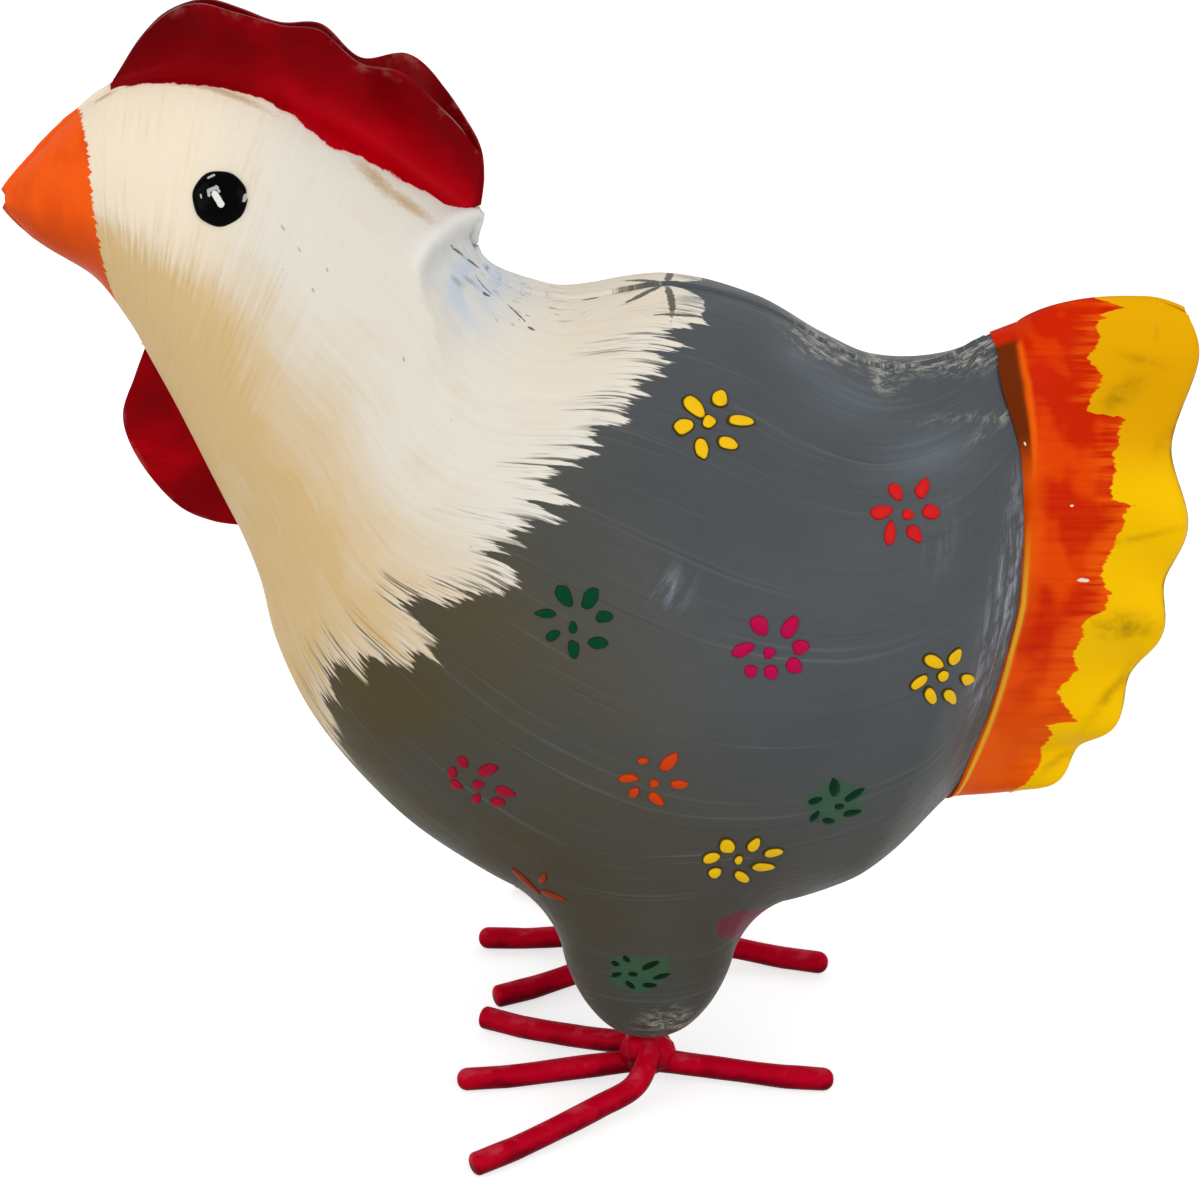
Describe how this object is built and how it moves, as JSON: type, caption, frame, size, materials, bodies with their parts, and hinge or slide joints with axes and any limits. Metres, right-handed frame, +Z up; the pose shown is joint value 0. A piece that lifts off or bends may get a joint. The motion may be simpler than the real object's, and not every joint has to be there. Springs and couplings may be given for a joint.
{
  "type": "hen figurine",
  "caption": "Standing hen figurine of painted sheet iron: welded half shells, hollow comb, wattle plate, fluted tail, leg cups and feet of bent rod.",
  "frame": {"origin": "centre of the figurine's footprint box, on the surface that the toes stand on", "axes": "+Z up, the beak points along -X, the figurine's own left side is towards -Y"},
  "size_m": [0.2286, 0.1166, 0.2198],
  "materials": {
    "body_paint": "slate grey brush paint on iron, white at the head and neck, semi-gloss",
    "head_paint": "white brush paint with a tan ground showing through",
    "comb_paint": "dark red brush paint, glossy",
    "tail_paint": "orange and yellow brush paint",
    "foot_paint": "crimson paint on round rod, glossy",
    "eye_paint": "thick glossy black paint"
  },
  "bodies": {
    "root": {"left_body_shell": "body_paint", "right_body_shell": "body_paint", "back_seam_weld": "body_paint", "belly_seam_weld": "body_paint", "face_seam_weld": "head_paint", "wattle": "comb_paint", "left_comb_leaf": "comb_paint", "right_comb_leaf": "comb_paint", "left_tail_panel": "tail_paint", "right_tail_panel": "tail_paint", "left_leg": "body_paint", "right_leg": "body_paint", "left_foot_long_rod": "foot_paint", "left_foot_cross_rod": "foot_paint", "left_foot_weld": "foot_paint", "right_foot_long_rod": "foot_paint", "right_foot_cross_rod": "foot_paint", "right_foot_weld": "foot_paint", "left_eye": "eye_paint", "right_eye": "eye_paint"}
  },
  "joints": []
}
